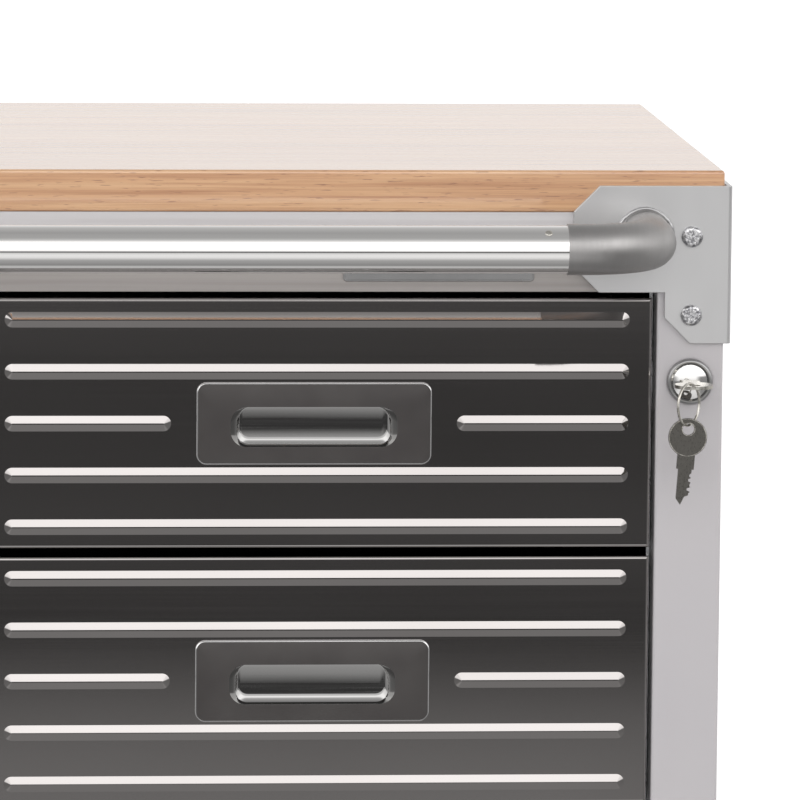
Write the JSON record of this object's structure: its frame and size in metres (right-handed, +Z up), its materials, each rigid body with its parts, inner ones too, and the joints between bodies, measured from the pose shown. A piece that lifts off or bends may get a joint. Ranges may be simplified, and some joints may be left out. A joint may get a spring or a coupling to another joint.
{
  "type": "rolling workbench with drawers",
  "caption": "Steel rolling workbench with a beech top, ribbed locking drawers in two columns, a front push bar and casters.",
  "frame": {"origin": "under the middle of the bounding box, on the floor that the wheels stand on", "axes": "+Z up, the drawers and push bar face -Y, +X to the right of a person standing in front"},
  "size_m": [0.924, 0.55, 0.9015],
  "materials": {
    "beech": "oiled",
    "grey_paint": "satin",
    "satin_steel": "satin",
    "chrome": "polished",
    "graphite_steel": "polished",
    "pull_grey": "satin",
    "tray_paint": "satin",
    "zinc": "satin",
    "nickel": "polished",
    "brake_paint": "satin",
    "grey_rubber": "matte"
  },
  "bodies": {
    "cabinet": {"worktop": "beech", "corner_posts": "grey_paint", "front_rail": "grey_paint", "top_rails": "grey_paint", "bottom_rails": "grey_paint", "side_panels": "grey_paint", "back_panel": "grey_paint", "base_pan": "grey_paint", "centre_divider": "grey_paint", "corner_brackets": "satin_steel", "bracket_screws": "zinc", "bar_elbows": "satin_steel", "push_bar": "chrome", "slide_outers": "zinc", "lock_housing": "chrome", "caster_plates": "zinc", "rigid_forks": "zinc"},
    "drawer_left_top": {"drawer_front_left_top": "graphite_steel", "drawer_pull_left_top": "pull_grey", "drawer_tray_left_top": "tray_paint", "slide_inner_left_top": "zinc"},
    "slides_left_top": {"slide_middle_left_top": "zinc"},
    "drawer_left_middle": {"drawer_front_left_middle": "graphite_steel", "drawer_pull_left_middle": "pull_grey", "drawer_tray_left_middle": "tray_paint", "slide_inner_left_middle": "zinc"},
    "slides_left_middle": {"slide_middle_left_middle": "zinc"},
    "drawer_left_bottom": {"drawer_front_left_bottom": "graphite_steel", "drawer_pull_left_bottom": "pull_grey", "drawer_tray_left_bottom": "tray_paint", "slide_inner_left_bottom": "zinc"},
    "slides_left_bottom": {"slide_middle_left_bottom": "zinc"},
    "drawer_right_top": {"drawer_front_right_top": "graphite_steel", "drawer_pull_right_top": "pull_grey", "drawer_tray_right_top": "tray_paint", "slide_inner_right_top": "zinc"},
    "slides_right_top": {"slide_middle_right_top": "zinc"},
    "drawer_right_middle": {"drawer_front_right_middle": "graphite_steel", "drawer_pull_right_middle": "pull_grey", "drawer_tray_right_middle": "tray_paint", "slide_inner_right_middle": "zinc"},
    "slides_right_middle": {"slide_middle_right_middle": "zinc"},
    "drawer_right_bottom": {"drawer_front_right_bottom": "graphite_steel", "drawer_pull_right_bottom": "pull_grey", "drawer_tray_right_bottom": "tray_paint", "slide_inner_right_bottom": "zinc"},
    "slides_right_bottom": {"slide_middle_right_bottom": "zinc"},
    "lock_plug": {"lock_plug": "nickel", "lock_key": "nickel"},
    "key_ring": {"key_ring": "nickel"},
    "spare_key": {"spare_key": "nickel"},
    "lock_bars": {"lock_bars": "zinc"},
    "swivel_front": {"swivel_fork_front": "zinc"},
    "brake_front": {"brake_lever_front": "brake_paint"},
    "wheel_front_left": {"wheel_front_left": "grey_rubber"},
    "wheel_front_right": {"wheel_front_right": "grey_rubber"},
    "swivel_rear": {"swivel_fork_rear": "zinc"},
    "brake_rear": {"brake_lever_rear": "brake_paint"},
    "wheel_rear_left": {"wheel_rear_left": "grey_rubber"},
    "wheel_rear_right": {"wheel_rear_right": "grey_rubber"}
  },
  "joints": [
    {"name": "drawer_left_top", "type": "slide", "parent": "cabinet", "child": "drawer_left_top", "axis": [0, -1, 0], "range_m": [0, 0.38]},
    {"name": "slides_left_top", "type": "slide", "parent": "cabinet", "child": "slides_left_top", "axis": [0, -1, 0], "range_m": [0, 0.19]},
    {"name": "drawer_left_middle", "type": "slide", "parent": "cabinet", "child": "drawer_left_middle", "axis": [0, -1, 0], "range_m": [0, 0.38]},
    {"name": "slides_left_middle", "type": "slide", "parent": "cabinet", "child": "slides_left_middle", "axis": [0, -1, 0], "range_m": [0, 0.19]},
    {"name": "drawer_left_bottom", "type": "slide", "parent": "cabinet", "child": "drawer_left_bottom", "axis": [0, -1, 0], "range_m": [0, 0.38]},
    {"name": "slides_left_bottom", "type": "slide", "parent": "cabinet", "child": "slides_left_bottom", "axis": [0, -1, 0], "range_m": [0, 0.19]},
    {"name": "drawer_right_top", "type": "slide", "parent": "cabinet", "child": "drawer_right_top", "axis": [0, -1, 0], "range_m": [0, 0.38]},
    {"name": "slides_right_top", "type": "slide", "parent": "cabinet", "child": "slides_right_top", "axis": [0, -1, 0], "range_m": [0, 0.19]},
    {"name": "drawer_right_middle", "type": "slide", "parent": "cabinet", "child": "drawer_right_middle", "axis": [0, -1, 0], "range_m": [0, 0.38]},
    {"name": "slides_right_middle", "type": "slide", "parent": "cabinet", "child": "slides_right_middle", "axis": [0, -1, 0], "range_m": [0, 0.19]},
    {"name": "drawer_right_bottom", "type": "slide", "parent": "cabinet", "child": "drawer_right_bottom", "axis": [0, -1, 0], "range_m": [0, 0.38]},
    {"name": "slides_right_bottom", "type": "slide", "parent": "cabinet", "child": "slides_right_bottom", "axis": [0, -1, 0], "range_m": [0, 0.19]},
    {"name": "lock", "type": "hinge", "parent": "cabinet", "child": "lock_plug", "pos_m": [0.438, -0.182, 0.775], "axis": [0, -1, 0], "range_deg": [0, 90]},
    {"name": "lock_bars", "type": "slide", "parent": "cabinet", "child": "lock_bars", "axis": [0, 0, -1], "range_m": [0, 0.008]},
    {"name": "key_ring_swing", "type": "hinge", "parent": "lock_plug", "child": "key_ring", "pos_m": [0.43488, -0.21342, 0.775], "axis": [-0.5948, -0.8039, 0], "range_deg": [-18, 18]},
    {"name": "spare_key_swing", "type": "hinge", "parent": "key_ring", "child": "spare_key", "pos_m": [0.43384, -0.21483, 0.7528], "axis": [0, 1, 0], "range_deg": [-12, 12]},
    {"name": "swivel_front", "type": "hinge", "parent": "cabinet", "child": "swivel_front", "pos_m": [0.383, -0.11, 0.15], "axis": [0, 0, 1], "continuous": true},
    {"name": "wheel_front_right", "type": "hinge", "parent": "swivel_front", "child": "wheel_front_right", "pos_m": [0.349, -0.11, 0.0625], "axis": [0, 1, 0], "continuous": true},
    {"name": "wheel_front_left", "type": "hinge", "parent": "cabinet", "child": "wheel_front_left", "pos_m": [-0.383, -0.11, 0.0625], "axis": [0, 1, 0], "continuous": true},
    {"name": "brake_front", "type": "hinge", "parent": "swivel_front", "child": "brake_front", "pos_m": [0.318, -0.11, 0.1355], "axis": [0, -1, 0], "range_deg": [0, 15]},
    {"name": "swivel_rear", "type": "hinge", "parent": "cabinet", "child": "swivel_rear", "pos_m": [0.383, 0.203, 0.15], "axis": [0, 0, 1], "continuous": true},
    {"name": "wheel_rear_right", "type": "hinge", "parent": "swivel_rear", "child": "wheel_rear_right", "pos_m": [0.349, 0.203, 0.0625], "axis": [0, 1, 0], "continuous": true},
    {"name": "wheel_rear_left", "type": "hinge", "parent": "cabinet", "child": "wheel_rear_left", "pos_m": [-0.383, 0.203, 0.0625], "axis": [0, 1, 0], "continuous": true},
    {"name": "brake_rear", "type": "hinge", "parent": "swivel_rear", "child": "brake_rear", "pos_m": [0.318, 0.203, 0.1355], "axis": [0, -1, 0], "range_deg": [0, 15]}
  ],
  "couplings": [
    {"joint": "slides_left_top", "follows": "drawer_left_top", "ratio": 0.5},
    {"joint": "slides_left_middle", "follows": "drawer_left_middle", "ratio": 0.5},
    {"joint": "slides_left_bottom", "follows": "drawer_left_bottom", "ratio": 0.5},
    {"joint": "slides_right_top", "follows": "drawer_right_top", "ratio": 0.5},
    {"joint": "slides_right_middle", "follows": "drawer_right_middle", "ratio": 0.5},
    {"joint": "slides_right_bottom", "follows": "drawer_right_bottom", "ratio": 0.5},
    {"joint": "lock", "follows": "lock_bars", "rad_per_m": 196.35}
  ]
}
